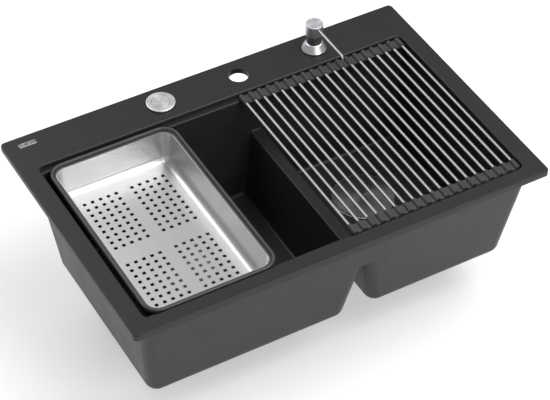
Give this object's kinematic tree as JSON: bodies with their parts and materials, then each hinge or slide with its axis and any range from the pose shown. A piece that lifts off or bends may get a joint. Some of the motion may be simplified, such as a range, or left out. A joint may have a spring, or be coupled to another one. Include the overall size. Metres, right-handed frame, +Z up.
{
  "type": "workstation kitchen sink",
  "caption": "Black composite double-bowl sink with a back deck, a sliding colander tray and a roll-up rod mat on ledges, remote-controlled waste and a deck soap dispenser.",
  "frame": {"origin": "middle of the deck in plan, in the plane of the worktop that the rim rests on; the deck top is 11 mm above it", "axes": "+X to the right along the front, +Y to the back where the deck holes are, +Z up"},
  "size_m": [0.76, 0.5, 0.3462],
  "materials": {
    "composite": "matte moulded composite of quartz sand and acrylic resin, very fine grain",
    "brushed_steel": "brushed stainless steel",
    "cover_steel": "satin stainless steel",
    "waste_steel": "pressed stainless steel",
    "spring_steel": "drawn spring wire",
    "tray_steel": "satin pressed stainless steel sheet",
    "rod_steel": "polished stainless steel tube",
    "rim_plastic": "satin moulded plastic",
    "silicone": "matte moulded silicone",
    "seal_rubber": "moulded rubber",
    "black_plastic": "moulded polypropylene",
    "pump_plastic": "moulded polypropylene, natural",
    "bottle_plastic": "blown polyethylene, milky"
  },
  "bodies": {
    "sink": {"sink_body": "composite", "left_strainer_flange": "waste_steel", "left_flange_seal": "seal_rubber", "left_waste_gasket": "seal_rubber", "left_waste_body": "black_plastic", "left_clamp_screw": "waste_steel", "left_cable_gland": "black_plastic", "right_strainer_flange": "waste_steel", "right_flange_seal": "seal_rubber", "right_waste_gasket": "seal_rubber", "right_waste_body": "black_plastic", "right_clamp_screw": "waste_steel", "control_rosette": "brushed_steel", "control_spring": "spring_steel", "control_cartridge": "black_plastic", "control_seal": "seal_rubber", "control_nut": "black_plastic", "control_gland": "black_plastic", "soap_base": "brushed_steel", "soap_seal": "seal_rubber", "soap_nut": "black_plastic", "soap_pump": "pump_plastic", "soap_pump_collar": "pump_plastic", "soap_valve_ball": "spring_steel", "soap_spring": "spring_steel", "soap_bottle": "bottle_plastic", "soap_dip_tube": "pump_plastic"},
    "colander": {"colander_rim": "rim_plastic", "colander_tray": "tray_steel"},
    "mat": {"mat_rods": "rod_steel", "mat_grips": "silicone"},
    "roll_4": {"roll_rod_4": "rod_steel", "roll_grip_4": "silicone"},
    "roll_3": {"roll_rod_3": "rod_steel", "roll_grip_3": "silicone"},
    "roll_2": {"roll_rod_2": "rod_steel", "roll_grip_2": "silicone"},
    "roll_1": {"roll_rod_1": "rod_steel", "roll_grip_1": "silicone"},
    "button": {"control_button": "brushed_steel"},
    "left_plug": {"left_plug_cover": "cover_steel", "left_plug_seal": "seal_rubber", "left_basket": "waste_steel", "left_lift_pin": "waste_steel"},
    "right_plug": {"right_plug_cover": "cover_steel", "right_plug_seal": "seal_rubber", "right_basket": "waste_steel"},
    "pump_stem": {"soap_stem": "pump_plastic"},
    "soap_head": {"soap_head": "brushed_steel", "soap_spout": "brushed_steel"}
  },
  "joints": [
    {"name": "colander_slide", "type": "slide", "parent": "sink", "child": "colander", "axis": [1, 0, 0], "range_m": [-0.007, 0.125]},
    {"name": "mat_lift", "type": "slide", "parent": "sink", "child": "mat", "axis": [0, 0, 1], "range_m": [0, 0.025]},
    {"name": "roll_4_fold", "type": "hinge", "parent": "mat", "child": "roll_4", "pos_m": [0.08937, -0.027, 0.0068], "axis": [0, 1, 0], "range_deg": [0, 50]},
    {"name": "roll_3_fold", "type": "hinge", "parent": "roll_4", "child": "roll_3", "pos_m": [0.07212, -0.027, 0.0068], "axis": [0, 1, 0], "range_deg": [0, 50]},
    {"name": "roll_2_fold", "type": "hinge", "parent": "roll_3", "child": "roll_2", "pos_m": [0.05488, -0.027, 0.0068], "axis": [0, 1, 0], "range_deg": [0, 50]},
    {"name": "roll_1_fold", "type": "hinge", "parent": "roll_2", "child": "roll_1", "pos_m": [0.03762, -0.027, 0.0068], "axis": [0, 1, 0], "range_deg": [0, 50]},
    {"name": "button_press", "type": "slide", "parent": "sink", "child": "button", "axis": [0, 0, 1], "range_m": [-0.006, 0], "stiffness_N_per_m": 300, "springref_m": 0.004, "deforming": ["control_spring"]},
    {"name": "left_plug_lift", "type": "slide", "parent": "sink", "child": "left_plug", "axis": [0, 0, 1], "range_m": [0, 0.008]},
    {"name": "right_plug_lift", "type": "slide", "parent": "sink", "child": "right_plug", "axis": [0, 0, 1], "range_m": [0, 0.045]},
    {"name": "pump_press", "type": "slide", "parent": "sink", "child": "pump_stem", "axis": [0, 0, 1], "range_m": [-0.013, 0], "stiffness_N_per_m": 300, "springref_m": 0.008, "deforming": ["soap_spring"]},
    {"name": "spout_swivel", "type": "hinge", "parent": "pump_stem", "child": "soap_head", "pos_m": [0.2, 0.21, 0.061], "axis": [0, 0, 1], "continuous": true}
  ],
  "couplings": [
    {"joint": "roll_3_fold", "follows": "roll_4_fold", "ratio": 1},
    {"joint": "roll_2_fold", "follows": "roll_4_fold", "ratio": 1},
    {"joint": "roll_1_fold", "follows": "roll_4_fold", "ratio": 1},
    {"joint": "left_plug_lift", "follows": "button_press", "ratio": -1.3333}
  ]
}
